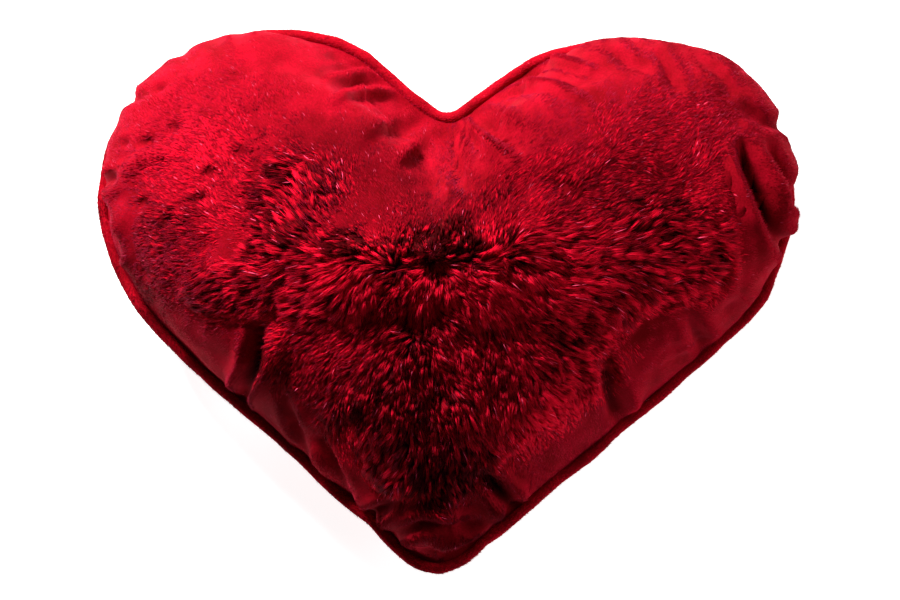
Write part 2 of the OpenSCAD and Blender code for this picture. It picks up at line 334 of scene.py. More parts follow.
def make_mesh(name, points, faces, material):
    """A smooth-shaded mesh object, from points in millimetres."""
    mesh = bpy.data.meshes.new(name)
    mesh.vertices.add(len(points))
    mesh.vertices.foreach_set("co", (points * MM).astype(np.float32).ravel())
    sides = faces.shape[1]
    mesh.loops.add(faces.size)
    mesh.loops.foreach_set("vertex_index", faces.astype(np.int32).ravel())
    mesh.polygons.add(len(faces))
    mesh.polygons.foreach_set("loop_start", np.arange(0, faces.size, sides, dtype=np.int32))
    mesh.polygons.foreach_set("use_smooth", np.full(len(faces), True))
    mesh.update(calc_edges=True)
    mesh.materials.append(material)
    made = bpy.data.objects.new(name, mesh)
    bpy.context.scene.collection.objects.link(made)
    return made


# ---- Cloth simulation ----
# The cloth is coarser than the panels: every third point round, and every fourth ring
ROW_SKIP = 3
RING_SKIP = 4
CLOTH_FRAMES = 20
CLOTH_SETTINGS = {
    "quality": 6,
    "mass": 0.3,
    "tension_stiffness": 20,
    "compression_stiffness": 20,
    "shear_stiffness": 8,
    "bending_stiffness": 0.4,
    "use_pressure": True,
    "uniform_pressure_force": 4,
}
# How far the cloth may move a point
CLOTH_CAP = 8.0
# How much too large the cloth is for its seam, and for the rest of the cover
SURPLUS = [
    (0, 0.05), (200, 0.06), (260, 0.09), (420, 0.09), (500, 0.05),
    (-200, 0.05), (-300, 0.045), (-500, 0.045),
]
SURPLUS_INSIDE = 0.010


def pinned(points, ring, seam, columns):
    """The points of the cloth that are held: the seam, the floor patch, the edge along the zip
    and the patch under the label."""
    below = ring > seam
    held = (ring == seam - 1) | (ring == seam)
    held |= below & (points[:, 2] < FLOOR_CLOTH + 0.6)
    held |= below & (ring < seam + 4) & (np.repeat(SLOT[::ROW_SKIP], columns) > 0.1)
    return held | below & (under_label(points) > 0.1)


def blown(points, rest, faces, held):
    """Where the cloth simulation moves the points to, from a rest shape that is larger."""
    body = make_mesh("cloth_body", points, faces, None)
    body.shape_key_add(name="Basis")
    loose = body.shape_key_add(name="loose")
    loose.data.foreach_set("co", (rest * MM).astype(np.float32).ravel())
    pins = body.vertex_groups.new(name="pins")
    pins.add([int(k) for k in np.flatnonzero(held)], 1.0, "REPLACE")
    cloth = body.modifiers.new("cloth", "CLOTH")
    for key, value in CLOTH_SETTINGS.items():
        setattr(cloth.settings, key, value)
    cloth.settings.vertex_group_mass = "pins"
    cloth.settings.rest_shape_key = loose
    cloth.settings.effector_weights.gravity = 0
    cloth.point_cache.frame_end = CLOTH_FRAMES
    for step in range(1, CLOTH_FRAMES + 1):
        bpy.context.scene.frame_set(step)
    seen = body.evaluated_get(bpy.context.evaluated_depsgraph_get())
    moved = np.empty(len(points) * 3, np.float32)
    seen.data.vertices.foreach_get("co", moved)
    bpy.data.objects.remove(body)
    bpy.context.scene.frame_set(1)
    return moved.reshape(-1, 3).astype(float) / MM


def inflate(front, back):
    """Blows the cover up as cloth that is a little too large for its seam, so that it gathers
    there."""
    rings_f = np.arange(0, FRONT_RINGS, RING_SKIP)
    rings_b = np.arange(0, BACK_RINGS, RING_SKIP)
    coarse = np.concatenate([front[::ROW_SKIP, rings_f][:, ::-1], back[::ROW_SKIP, rings_b]], axis=1)
    rows, columns = coarse.shape[:2]
    points = coarse.reshape(-1, 3)
    ring = np.tile(np.arange(columns), rows)
    seam = len(rings_f)
    held = pinned(points, ring, seam, columns)
    surplus = np.repeat(along_table(SURPLUS)[::ROW_SKIP], columns)
    fullness = surplus * np.exp(-(np.abs(ring - seam + 0.5) / 9.0) ** 2) + SURPLUS_INSIDE
    hub = np.array([0.0, 20.0, SEAM_Z])
    rest = hub + (points - hub) * (1 + fullness[:, None] * [1, 1, 0.6])
    middles = [[*CENTRE, front[:, -1, 2].mean()], [0, 0, FLOOR_CLOTH]]
    closed_points, closed_rest = np.vstack([points, middles]), np.vstack([rest, middles])
    closed_held = np.append(held, [False, True])
    moved = blown(closed_points, closed_rest, sheet_faces(rows, columns), closed_held)
    shift = moved[:-2] - points
    size = np.linalg.norm(shift, axis=1, keepdims=True)
    shift *= np.minimum(1, CLOTH_CAP / np.maximum(size, 1e-6))
    shift[held] = 0
    shift = shift.reshape(rows, columns, 3)
    front_shift = spread(shift[:, :seam][:, ::-1], rings_f, FRONT_RINGS)
    back_shift = spread(shift[:, seam:], rings_b, BACK_RINGS)
    return front + front_shift, back + back_shift


def cubic(values, at, axis, loop):
    """Values between the samples of a grid along one axis, by smooth cubic curves."""
    values = np.moveaxis(values, axis, 0)
    count = len(values)
    k = np.floor(at).astype(int)
    t = (at - k).reshape(-1, *[1] * (values.ndim - 1))
    place = [(k + d) % count if loop else np.clip(k + d, 0, count - 1) for d in (-1, 0, 1, 2)]
    p0, p1, p2, p3 = (values[p] for p in place)
    bend = 2 * p0 - 5 * p1 + 4 * p2 - p3 + t * (3 * (p1 - p2) + p3 - p0)
    return np.moveaxis(p1 + 0.5 * t * (p2 - p0 + t * bend), 0, axis)


def spread(shift, rings, count):
    """The cloth's coarse movement, spread over every point of the panel's grid."""
    finer = cubic(shift, np.arange(AROUND) / ROW_SKIP, 0, True)
    at = np.interp(np.arange(count), rings, np.arange(len(rings)))
    return cubic(finer, at, 1, False)


# ---- Folds of the front ----
# Each has a depth, a width and places. A ridge has a depth below 0.
FOLDS = [
    # from the notch: a dark crease down the middle and a ridge on each side
    (4.0, 4.0, [(1, 100), (5, 78), (16, 54)]),
    (-2.4, 3.6, [(-4, 103), (-17, 80), (-23, 68)]),
    (2.8, 4.8, [(-9, 107), (-24, 91), (-37, 78)]),
    (-4.0, 2.7, [(4, 105), (15, 95), (34, 78), (44, 71)]),
    (3.6, 5.0, [(12, 104), (32, 91), (48, 82)]),
    # curved ridges along the inner flanks of the lobes
    (-4.2, 2.7, [(-62, 121), (-47, 127), (-35, 126), (-24, 116)]),
    (-4.2, 2.7, [(-58, 104), (-46, 114), (-28, 117), (-4, 105)]),
    (2.2, 3.0, [(-58, 114), (-43, 121), (-27, 121)]),
    (-3.3, 3.0, [(8, 108), (20, 121), (36, 130), (57, 132), (84, 125)]),
    (-3.4, 2.8, [(11, 108), (24, 115), (40, 118), (62, 113), (79, 107)]),
    (2.0, 3.2, [(18, 113), (36, 125), (60, 125)]),
    (-1.0, 2.6, [(82, 107), (90, 92), (98, 74)]),
    (1.8, 5.0, [(60, 63), (69, 55), (76, 46)]),
    # top and right of the right lobe
    (2.0, 4.0, [(94, 138), (106, 130), (118, 126)]),
    (2.6, 4.0, [(124, 134), (130, 122), (135, 112)]),
    (2.2, 4.0, [(144, 134), (154, 127), (163, 116)]),
    (4.5, 3.6, [(194, 96), (183, 98), (172, 104)]),
    (12.0, 4.6, [(170, 80), (175, 69), (181, 55), (190, 30)]),
    (7.0, 3.6, [(187, 82), (193, 69), (199, 56)]),
    (-3.5, 3.6, [(178, 84), (187, 66), (195, 48)]),
    (-2.5, 3.0, [(163, 82), (168, 64), (175, 46), (184, 28)]),
    (2.4, 3.2, [(202, 56), (195, 52)]),
    (3.0, 3.6, [(200, 28), (191, 33)]),
    (6.0, 3.6, [(153, 24), (158, 15), (159, 6)]),
    # far left
    (4.5, 4.0, [(-193, 60), (-187, 62), (-180, 62)]),
    (-3.2, 5.0, [(-187, 52), (-180, 62), (-168, 72), (-146, 78)]),
    (8.0, 3.4, [(-193, 50), (-186, 36), (-179, 22)]),
    (-4.0, 4.0, [(-178, 44), (-180, 30), (-176, 14), (-168, -4)]),
    (2.6, 3.0, [(-183, 106), (-168, 110)]),
    (2.0, 5.0, [(-154, 137), (-138, 125)]),
    (1.6, 4.5, [(-118, 148), (-110, 138)]),
    (1.6, 3.0, [(-102, 103), (-97, 78), (-96, 40)]),
    # gathers along the lower left side
    (11.0, 4.2, [(-98, -24), (-101, -43), (-114, -62)]),
    (-4.0, 5.0, [(-84, -28), (-92, -46), (-107, -60)]),
    (5.0, 3.6, [(-74, -88), (-82, -76), (-84, -62)]),
    (-3.0, 3.2, [(-79, -78), (-69, -93), (-53, -110)]),
    (5.0, 3.4, [(-50, -113), (-57, -100), (-63, -84)]),
    (6.0, 3.2, [(-41, -124), (-28, -120), (-20, -115)]),
    # tip: level folds, and a pocket on its right
    (4.0, 3.0, [(-26, -134), (-7, -129), (8, -132), (22, -128)]),
    (-3.0, 2.4, [(0, -141), (13, -138), (27, -131)]),
    (4.0, 2.6, [(-10, -141), (4, -145), (24, -138)]),
    (11.0, 4.4, [(28, -101), (37, -112), (46, -121)]),
    (4.0, 3.0, [(45, -120), (37, -124)]),
    # gathers along the lower right side
    (7.0, 5.0, [(97, -40), (99, -56), (102, -71)]),
    (-3.0, 3.5, [(115, -48), (109, -60), (104, -69)]),
    (4.0, 4.5, [(141, -12), (147, -24), (149, -34)]),
    (3.5, 4.0, [(170, -2), (160, -12)]),
    # the hollow where the long pile parts
    (4.0, 11.0, [(-42, 15), (-20, 12), (0, 14), (39, 19)]),
    (3.0, 9.0, [(-12, -2), (-9, -28)]),
]
# Small nicks in the nap of the left lobe
NICKS = [
    (-159, 113), (-179, 82), (-164, 82), (-147, 90), (-125, 63), (-106, 74), (-148, 37), (-130, 48),
    (-164, 47),
]
NICK_DEEP = 2.2
NICK_WIDE = 2.8
FOLDS += [(NICK_DEEP, NICK_WIDE, [(x - 3, y - 1), (x + 3, y + 1)]) for x, y in NICKS]


def from_line(xy, places):
    """How far points are from a bent line, and how far along it, from 0 to 1."""
    places = np.array(places, float)
    lengths = np.linalg.norm(np.diff(places, axis=0), axis=1)
    starts = np.concatenate([[0], np.cumsum(lengths)])
    gap = np.full(xy.shape[:-1], 1e9)
    along = np.zeros(xy.shape[:-1])
    for start, end, first, size in zip(places[:-1], places[1:], starts, lengths):
        k = np.clip((xy - start) @ (end - start) / size**2, 0, 1)
        spot = start + k[..., None] * (end - start)
        away = np.linalg.norm(xy - spot, axis=-1)
        closer = away < gap
        gap = np.where(closer, away, gap)
        along = np.where(closer, (first + k * size) / starts[-1], along)
    return gap, along


def folded(grid):
    """Presses the folds and the lumps of the filling into the front. Gives its new grid, and how
    deep in a fold each point is, from 0 to 1, which also sets the painted shade in the folds."""
    normal = normals_of(grid, 1)
    xy = grid[:, :, :2]
    depth = np.zeros(grid.shape[:2])
    crease = np.zeros(grid.shape[:2])
    for deep, wide, places in FOLDS:
        gap, along = from_line(xy, places)
        profile = 0.35 + 0.65 * np.sin(math.pi * along)
        shape = np.exp(-((gap / wide) ** 2)) - 0.3 * np.exp(-((gap / wide - 1.8) ** 2))
        depth += deep * shape * profile
        # painted shade: how dark the pile and its ground are painted in a fold, up to 1 for a fold 9 mm deep
        if deep > 0:
            crease = np.maximum(crease, min(1, deep / 9) * np.exp(-((1.1 * gap / wide) ** 2)) * profile)
    ring = np.arange(grid.shape[1])[None, :] / grid.shape[1]
    inner = smooth(ring, 0.02, 0.2)
    depth *= smooth(ring, 0.0, 0.05) * (0.35 + 0.65 * inner)
    lumps = 2.2 * waves(grid, 95, 11) + 0.7 * waves(grid, 38, 12) + 0.2 * waves(grid, 14, 13)
    return grid - normal * (depth - lumps * inner)[:, :, None], crease


# ---- Materials ----
def material(name, **constants):
    """A new material, its node tree and its shader, with constants on the shader's sockets."""
    made = bpy.data.materials.new(name)
    made.use_nodes = True
    tree = made.node_tree
    shader = tree.nodes["Principled BSDF"]
    for key, value in constants.items():
        shader.inputs[key.replace("_", " ")].default_value = value
    return made, tree, shader


def add(tree, kind, inputs=None, **settings):
    """A new node. An input is a number, or the socket of another node to link from."""
    made = tree.nodes.new(kind)
    for key, value in settings.items():
        setattr(made, key, value)
    for key, value in (inputs or {}).items():
        if isinstance(value, bpy.types.NodeSocket):
            tree.links.new(value, made.inputs[key])
        else:
            made.inputs[key].default_value = value
    return made


def ramp(tree, factor, stops):
    """A colour ramp. Its first and last stops come first in the list."""
    made = add(tree, "ShaderNodeValToRGB", {"Fac": factor})
    for k, (place, colour) in enumerate(stops):
        stop = made.color_ramp.elements[k] if k < 2 else made.color_ramp.elements.new(place)
        stop.position = place
        stop.color = (*colour, 1)
    return made.outputs["Color"]


def object_place(tree):
    """Where a point is on its object."""
    return add(tree, "ShaderNodeTexCoord").outputs["Object"]


def noise(tree, where, scale, detail, **more):
    """Cloudy noise from 0 to 1."""
    inputs = {"Vector": where, "Scale": scale, "Detail": detail, **more}
    return add(tree, "ShaderNodeTexNoise", inputs).outputs["Fac"]


def multiplied(tree, first, second):
    """One colour times another. Sockets 6 and 7 of the node are those of its colours."""
    inputs = {"Factor": 1, 6: first, 7: second}
    return add(tree, "ShaderNodeMix", inputs, data_type="RGBA", blend_type="MULTIPLY").outputs[2]


def painted(tree, shader, colour):
    tree.links.new(colour, shader.inputs["Base Color"])


def roughened(tree, shader, value, low, high):
    rough = add(tree, "ShaderNodeMapRange", {"Value": value, "To Min": low, "To Max": high})
    tree.links.new(rough.outputs[0], shader.inputs["Roughness"])


def bumped(tree, shader, height, strength, distance):
    bump = add(tree, "ShaderNodeBump", {"Height": height, "Strength": strength, "Distance": distance})
    tree.links.new(bump.outputs[0], shader.inputs["Normal"])


def fuzzy(shader, roughness):
    """A red sheen, as on velvet seen from the side."""
    shader.inputs["Sheen Roughness"].default_value = roughness
    shader.inputs["Sheen Tint"].default_value = (1, 0.03, 0.12, 1)


def pile_material(name, root, tip, sheen):
    """Red pile, dark at the root as painted shade deep in the pile, and bright at the tip. Each
    strand has its own tone, and the few with the highest are pale pink flecks of painted highlight."""
    made, tree, shader = material(name, Roughness=0.62, Specular_IOR_Level=0.02, Sheen_Weight=sheen)
    fuzzy(shader, 0.35)
    where = add(tree, "ShaderNodeUVMap", uv_map="OFBake").outputs["UV"]
    apart = add(tree, "ShaderNodeSeparateXYZ", {0: where})
    middle = tuple(0.5 * r + 0.5 * t for r, t in zip(root, tip))
    # painted shade: each strand runs from a dark root to a bright tip
    along = ramp(tree, apart.outputs["X"], [(0.0, root), (0.8, tip), (0.4, middle)])
    # painted highlight: the top of the tone ramp is pale pink, for the flecks and the brightest locks
    tones = [
        (0.0, (0.05, 0.04, 0.04)), (1.0, (1.75, 44, 14)),
        (0.3, (0.42, 0.38, 0.38)), (0.6, (0.9, 0.9, 0.9)), (0.93, (1.2, 1.8, 1.5)),
    ]
    tone = ramp(tree, apart.outputs["Y"], tones)
    painted(tree, shader, multiplied(tree, along, tone))
    roughened(tree, shader, apart.outputs["Y"], 0.5, 0.75)
    return made


def plush_material(name, deep, bright, fine, shaded=False):
    """The knitted ground of the plush, with the nap lying over it in short streaks. When shaded,
    it gets painted shade down between the roots of the long pile, in the folds and in the dull patches."""
    made, tree, shader = material(name, Roughness=0.8, Specular_IOR_Level=0.02, Sheen_Weight=0.18)
    fuzzy(shader, 0.4)
    where = object_place(tree)
    nap = noise(tree, where, fine, 5, Roughness=0.65)
    drift = noise(tree, where, 60, 3)
    both = add(tree, "ShaderNodeMath", {0: nap, 1: drift}, operation="MULTIPLY")
    colour = ramp(tree, both.outputs[0], [(0.12, deep), (0.4, bright)])
    if shaded:
        # painted shade on the ground, read from the front cover
        depth = add(tree, "ShaderNodeAttribute", attribute_name="painted_ground_shade").outputs["Fac"]
        under = ramp(tree, depth, [(0.2, (1, 1, 1)), (0.85, (0.05, 0.04, 0.04))])
        colour = multiplied(tree, colour, under)
    painted(tree, shader, colour)
    bumped(tree, shader, nap, 0.5, 0.0006)
    return made


def woven_material(name, dark, light, scale, strength=0.3, rough=0.75, sheen=0.1, level=0.3):
    """Two sets of threads that cross, with some uneven dye."""
    made, tree, shader = material(name, Roughness=rough, Specular_IOR_Level=level, Sheen_Weight=sheen)
    where = object_place(tree)
    turned = add(tree, "ShaderNodeMapping", {"Vector": where})
    turned.inputs["Rotation"].default_value = (math.radians(28), 0, math.radians(41))
    threads = {"Vector": turned.outputs[0], "Scale": scale, "Distortion": 1.2}
    wefts = add(tree, "ShaderNodeTexWave", threads)
    warps = add(tree, "ShaderNodeTexWave", threads, bands_direction="Y")
    both = {0: wefts.outputs["Fac"], 1: warps.outputs["Fac"]}
    cross = add(tree, "ShaderNodeMath", both, operation="MULTIPLY").outputs[0]
    cloud = noise(tree, where, 45, 4)
    mixed = add(tree, "ShaderNodeMath", {0: cross, 1: cloud}, operation="ADD")
    painted(tree, shader, ramp(tree, mixed.outputs[0], [(0.3, dark), (1.1, light)]))
    bumped(tree, shader, cross, strength, 0.0003)
    return made


def nylon_material(name, dark, light):
    made, tree, shader = material(name, Roughness=0.4, Specular_IOR_Level=0.5)
    streak = noise(tree, object_place(tree), 700, 3)
    painted(tree, shader, ramp(tree, streak, [(0.3, dark), (0.7, light)]))
    roughened(tree, shader, streak, 0.3, 0.55)
    return made


def metal_material(name):
    """Plated zip metal with fine scratches and dulled edges."""
    made, tree, shader = material(name, Metallic=1.0, Roughness=0.3)
    where = object_place(tree)
    long_way = add(tree, "ShaderNodeMapping", {"Vector": where})
    long_way.inputs["Scale"].default_value = (1, 1, 6)
    scratch = noise(tree, long_way.outputs[0], 900, 6)
    stain = noise(tree, where, 180, 4)
    edge = add(tree, "ShaderNodeNewGeometry").outputs["Pointiness"]
    worn = add(tree, "ShaderNodeMapRange", {"Value": edge, "From Min": 0.48, "From Max": 0.56}).outputs[0]
    base = ramp(tree, stain, [(0.35, (0.42, 0.42, 0.44)), (0.65, (0.62, 0.62, 0.64))])
    layers = {"Factor": worn, 6: base, 7: (0.78, 0.76, 0.72, 1)}
    painted(tree, shader, add(tree, "ShaderNodeMix", layers, data_type="RGBA").outputs[2])
    roughened(tree, shader, scratch, 0.18, 0.5)
    bumped(tree, shader, scratch, 0.12, 0.0001)
    return made


def fibre_material(name):
    made, tree, shader = material(name, Roughness=0.9, Specular_IOR_Level=0.2, Sheen_Weight=0.3)
    tangle = noise(tree, object_place(tree), 160, 8, Distortion=2.5)
    painted(tree, shader, ramp(tree, tangle, [(0.3, (0.62, 0.62, 0.6)), (0.65, (0.9, 0.9, 0.88))]))
    bumped(tree, shader, tangle, 0.7, 0.001)
    return made


LONG_PILE = pile_material("long_pile", (0.015, 0.0002, 0.0008), (0.78, 0.003, 0.022), 0.15)
SHORT_PILE = pile_material("short_pile", (0.17, 0.0008, 0.004), (0.45, 0.002, 0.014), 0.2)
PIPING_PILE = pile_material("piping_pile", (0.24, 0.001, 0.005), (0.68, 0.003, 0.02), 0.3)
FRONT_GROUND = plush_material("front_ground", (0.17, 0.0008, 0.003), (0.40, 0.002, 0.013), 900, True)
BACK_GROUND = plush_material("back_ground", (0.15, 0.0008, 0.003), (0.42, 0.003, 0.015), 900)
PIPING_GROUND = plush_material("piping_ground", (0.2, 0.001, 0.004), (0.56, 0.003, 0.016), 1100)
TAPE = woven_material("zip_tape_weave", (0.16, 0.004, 0.01), (0.40, 0.01, 0.03), 260)
COIL = nylon_material("zip_coil_nylon", (0.18, 0.004, 0.012), (0.42, 0.012, 0.035))
METAL = metal_material("zip_metal_plated")
RED_THREAD = woven_material("red_thread_twist", (0.20, 0.004, 0.012), (0.5, 0.014, 0.035), 700)
WHITE_THREAD = woven_material("white_thread_twist", (0.6, 0.58, 0.55), (0.88, 0.87, 0.84), 700)
COTTON = woven_material("pad_cotton_weave", (0.62, 0.59, 0.52), (0.86, 0.83, 0.76), 480)
CORD = woven_material("piping_cord_twist", (0.58, 0.54, 0.46), (0.84, 0.80, 0.72), 200, 0.6)
SATIN = woven_material("label_satin_weave", (0.74, 0.74, 0.73), (0.92, 0.92, 0.91), 650, 0.15, 0.35, 0.2, 0.5)
FIBRE = fibre_material("fibre_tangle")

NODE_LOOKS = (
    (CORD, "piping_cord", "zip_filler_cords"),
    (RED_THREAD, "cover_seam_thread", "zip_stitching"),
    (TAPE, "zip_tape_upper", "zip_tape_lower"),
    (COIL, "zip_coil_upper", "zip_coil_lower"),
    (METAL, "zip_top_stops", "zip_bottom_stop", "zip_slider", "zip_pull_tab"),
    (SATIN, "care_label"),
    (WHITE_THREAD, "pad_seam_thread", "pad_closing_stitches"),
)
for look, *names in NODE_LOOKS:
    for name in names:
        node_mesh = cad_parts[name].data
        node_mesh.materials.clear()
        node_mesh.materials.append(look)


# ---- Panels as closed sheets of cloth ----
def closed_sheet(name, grid, middle, facing, thick, lining_rings, look):
    """A panel with its lining side, joined round the edge."""
    normal = normals_of(grid, facing)
    picks = np.unique(np.linspace(0, grid.shape[1] - 1, lining_rings).round().astype(int))
    lining = (grid - normal * thick)[:, picks]
    rows, outer, inner = len(grid), grid.shape[1], len(picks)
    first = rows * outer
    top = first + rows * inner
    low = np.subtract(middle, [0, 0, facing * thick])
    points = np.vstack([grid.reshape(-1, 3), lining.reshape(-1, 3), middle, low])
    a = np.arange(rows) * outer
    b = first + np.arange(rows) * inner
    rim = np.vstack([
        np.column_stack([a, b, np.roll(b, -1)]),
        np.column_stack([a, np.roll(b, -1), np.roll(a, -1)]),
    ])
    faces = np.vstack([
        triangles(rows, outer),
        fan(rows, outer, top),
        triangles(rows, inner, first)[:, ::-1],
        fan(rows, inner, top + 1, first)[:, ::-1],
        rim,
    ])
    if facing < 0:
        faces = faces[:, ::-1]
    return make_mesh(name, points, faces, look)


front_grid = front_base()
back_grid = back_base()
front_grid, back_grid = inflate(front_grid, back_grid)
# a shallow bed for the end of the pull tab
above_bed = np.maximum((back_grid - BAND_START) @ BAND_OUT - TAB_BED, 0)
back_grid = back_grid - (under_tab(back_grid) * above_bed)[:, :, None] * BAND_OUT
smooth_front, smooth_back = front_grid, back_grid
front_grid, front_crease = folded(front_grid)
back_grid[:, :, 2] = np.maximum(back_grid[:, :, 2], FLOOR_CLOTH)
front_middle = [*CENTRE, front_grid[:, -1, 2].mean()]
back_middle = [0, 0, FLOOR_CLOTH]

front_cover = closed_sheet("front_cover", front_grid, front_middle, 1, CLOTH, LINING_RINGS, FRONT_GROUND)
back_cover = closed_sheet("back_cover", back_grid, back_middle, -1, CLOTH, LINING_RINGS, BACK_GROUND)


# ---- Piping ----
def tube(name, inset, height, radius, sides, look):
    """A tube round the whole outline. Its radius has a value for each row, or for each point."""
    a = np.linspace(0, 2 * math.pi, sides, endpoint=False)[None, :]
    r = radius if np.ndim(radius) == 2 else radius[:, None]
    out = -inset[:, None] + r * np.cos(a)
    z = height[:, None] + r * np.sin(a)
    grid = np.dstack([EDGE[:, None, :] + OUT[:, None, :] * out[:, :, None], z])
    rows = len(grid)
    i, j = (g.ravel() for g in np.meshgrid(np.arange(rows), np.arange(sides), indexing="ij"))
    n, m = (i + 1) % rows, (j + 1) % sides
    faces = np.column_stack([i * sides + j, i * sides + m, n * sides + m, n * sides + j])[:, ::-1]
    return make_mesh(name, grid.reshape(-1, 3), faces, look), grid


# The piping's middle is this far inside the outline. The pile adds to its radius.
PIPING_INSET = 3.9
PIPING_R = 3.05
PIPING_SIDES = 20
# How much it wanders
WAVY = [
    (0, 0.5), (40, 1), (200, 1), (300, 0.6), (525, 0.4),
    (-40, 0.35), (-200, 0.35), (-300, 0.6),
]
path = np.column_stack([EDGE, np.zeros(AROUND)])
wavy = along_table(WAVY)
piping_inset = PIPING_INSET + 0.75 * wavy * waves(path, 34, 21)
piping_z = SEAM_Z + 0.9 * wavy * waves(path, 46, 22)
piping_r = PIPING_R + 0.18 * waves(path, 16, 23)
piping, piping_grid = tube("piping_tube", piping_inset, piping_z, piping_r, PIPING_SIDES, PIPING_GROUND)

# The cord inside it: three plies, whose pattern repeats once in about 11 mm
CORD_R = 1.72
PLY_PITCH = 11
CORD_SIDES = 24
turns = round(PERIMETER / PLY_PITCH)
round_it = np.linspace(0, 2 * math.pi, CORD_SIDES, endpoint=False)[None, :]
twist = round_it + 2 * math.pi * turns * ALONG[:, None] / PERIMETER / 3
cord_r = CORD_R + 0.2 * np.abs(np.cos(1.5 * twist))
cord, _ = tube("piping_cord_twisted", piping_inset, piping_z, cord_r, CORD_SIDES, CORD)


# ---- Pile ----
def scatter(grid, normal, density, count, seed):
    """Roots spread over a grid in proportion to a density: places, normals, the random numbers
    to go on with, and a function that reads any other field of the grid at the roots."""
    rng = np.random.default_rng(seed)
    wrapped = np.concatenate([grid, grid[:1]], axis=0)
    du = wrapped[1:, :-1] - wrapped[:-1, :-1]
    dv = wrapped[:-1, 1:] - wrapped[:-1, :-1]
    area = np.linalg.norm(np.cross(du, dv), axis=2) * density[:, :-1]
    chances = np.cumsum(area.ravel())
    picked = np.searchsorted(chances, rng.uniform(0, chances[-1], count))
    i, j = np.divmod(np.minimum(picked, area.size - 1), area.shape[1])
    a, b = rng.uniform(0, 1, (2, count, 1))
    n = (i + 1) % len(grid)

    def blend(field):
        near = field[i, j] * (1 - a) + field[n, j] * a
        far = field[i, j + 1] * (1 - a) + field[n, j + 1] * a
        return near * (1 - b) + far * b

    def read(field):
        return blend(field[:, :, None])[:, 0]

    return blend(grid), normalised(blend(normal)), rng, read


# Girths of a strand from its root up, as shares of its width
GIRTHS = {1: (1.0,), 2: (0.75, 1.0)}
# How deep its root is in the cloth, and how thick it is for its width
ROOT_DEPTH = 0.3
THICK_SHARE = 0.6


def strand_faces(rings):
    """Triangles of one strand: its root, its sides and its tip."""
    faces = [(0, 2, 1)]
    for k in range(rings - 1):
        for c in range(3):
            a, b = 3 * k + c, 3 * k + (c + 1) % 3
            faces += [(a, b, b + 3), (a, b + 3, a + 3)]
    last = 3 * (rings - 1)
    faces += [(last + c, last + (c + 1) % 3, 3 * rings) for c in range(3)]
    return np.array(faces)


def strands(name, roots, ups, ways, lengths, widths, lean, bend, tones, paling, rings, look, lowest):
    """Closed three-sided tapered strands. Each leaves its root at an angle from the normal, and
    bends further over towards its tip. Paling takes away the painted shade at the root, from 0 to 1."""
    count = len(roots)
    ways = normalised(ways - ups * np.sum(ways * ups, axis=1, keepdims=True))
    sides = np.cross(ways, ups)
    points = np.empty((count, 3 * rings + 1, 3))
    spine = roots - ups * ROOT_DEPTH
    uv = np.empty((3 * rings + 1, 1))
    step = (lengths / rings)[:, None]
    for k in range(rings + 1):
        t = k / rings
        angle = (lean + bend * t)[:, None]
        if k:
            spine = spine + (ways * np.sin(angle) + ups * np.cos(angle)) * step
        if k == rings:
            points[:, -1] = spine
            uv[-1] = 1
            break
        over = ups * np.sin(angle) - ways * np.cos(angle)
        girth = widths[:, None] * GIRTHS[rings][k]
        for c, turn in enumerate((math.pi / 2, math.pi * 7 / 6, math.pi * 11 / 6)):
            offset = sides * (math.cos(turn) * girth) + over * (math.sin(turn) * girth * THICK_SHARE)
            points[:, 3 * k + c] = spine + offset
            uv[3 * k + c] = t
    if lowest is not None:
        points[:, :, 2] = np.maximum(points[:, :, 2], lowest)
    one = strand_faces(rings)
    faces = (one[None] + (np.arange(count) * (3 * rings + 1))[:, None, None]).reshape(-1, 3)
    made = make_mesh(name, points.reshape(-1, 3), faces, look)
    # the place along the strand, and its tone
    layer = made.data.uv_layers.new(name="OFBake")
    pairs = np.empty((count, len(one), 3, 2), np.float32)
    pairs[..., 0] = 0.02 + 0.96 * (1 - (1 - uv[one][None, :, :, 0]) * (1 - paling[:, None, None]))
    pairs[..., 1] = np.clip(tones, 0.02, 0.98)[:, None, None]
    layer.data.foreach_set("uv", pairs.ravel())
    return made


def gathered(places, size, seed):
    """For each root, the middle of the clump it belongs to and that clump's number."""
    # the clumps are the cells of a square grid that is wavy
    wobble = np.column_stack([waves(places[:, :2], size * 3, seed + k) for k in range(2)])
    wobble = wobble * size * 0.5
    cell = np.floor((places[:, :2] + wobble) / size).astype(int)
    most_cells = 4096
    key = (cell[:, 0] - cell[:, 0].min()) * most_cells + cell[:, 1] - cell[:, 1].min()
    _, number = np.unique(key, return_inverse=True)
    number = number.ravel()
    totals = np.bincount(number)
    middle = np.column_stack([np.bincount(number, places[:, k]) / totals for k in range(3)])
    return middle[number], number


# Whorls that the long pile lies away from: places and strengths
WHORLS = [
    ((-40, 15), 1.0), ((-20, 11), 1.2), ((2, 14), 1.2), ((22, 17), 1.0), ((42, 19), 0.8), ((-10, -28), 0.8),
]


def combed(places, wander=1.0):
    """The way the pile lies on the front: away from the whorls, and down below them."""
    xy = places[:, :2]
    away = np.zeros(xy.shape)
    for middle, strength in WHORLS:
        offset = xy - middle
        away += strength * offset / (np.sum(offset**2, axis=1, keepdims=True) + 20)
    away[:, 1] -= 0.014 * (1 - smooth(xy[:, 1], -10, 40))
    away = normalised(away)
    turn = wander * (0.3 * waves(xy, 52, 31) + 0.24 * waves(xy, 19, 32))
    c, s = np.cos(turn), np.sin(turn)
    way = np.column_stack([c * away[:, 0] - s * away[:, 1], s * away[:, 0] + c * away[:, 1]])
    return np.column_stack([way, np.zeros(len(way))])


def patches(places, rows, soft, ragged=0.0):
    """A field made of soft oval patches, each given by its middle, half size and strength."""
    xy = places[..., :2]
    edge = ragged * (waves(xy, 34, 33) + 0.7 * waves(xy, 12, 34))
    left = np.ones(xy.shape[:-1])
    for middle, size, strength in rows:
        away = np.linalg.norm((xy - middle) / size, axis=-1)
        left *= 1 - strength * (1 - smooth(away + edge, 1 - soft, 1 + soft))
    return 1 - left


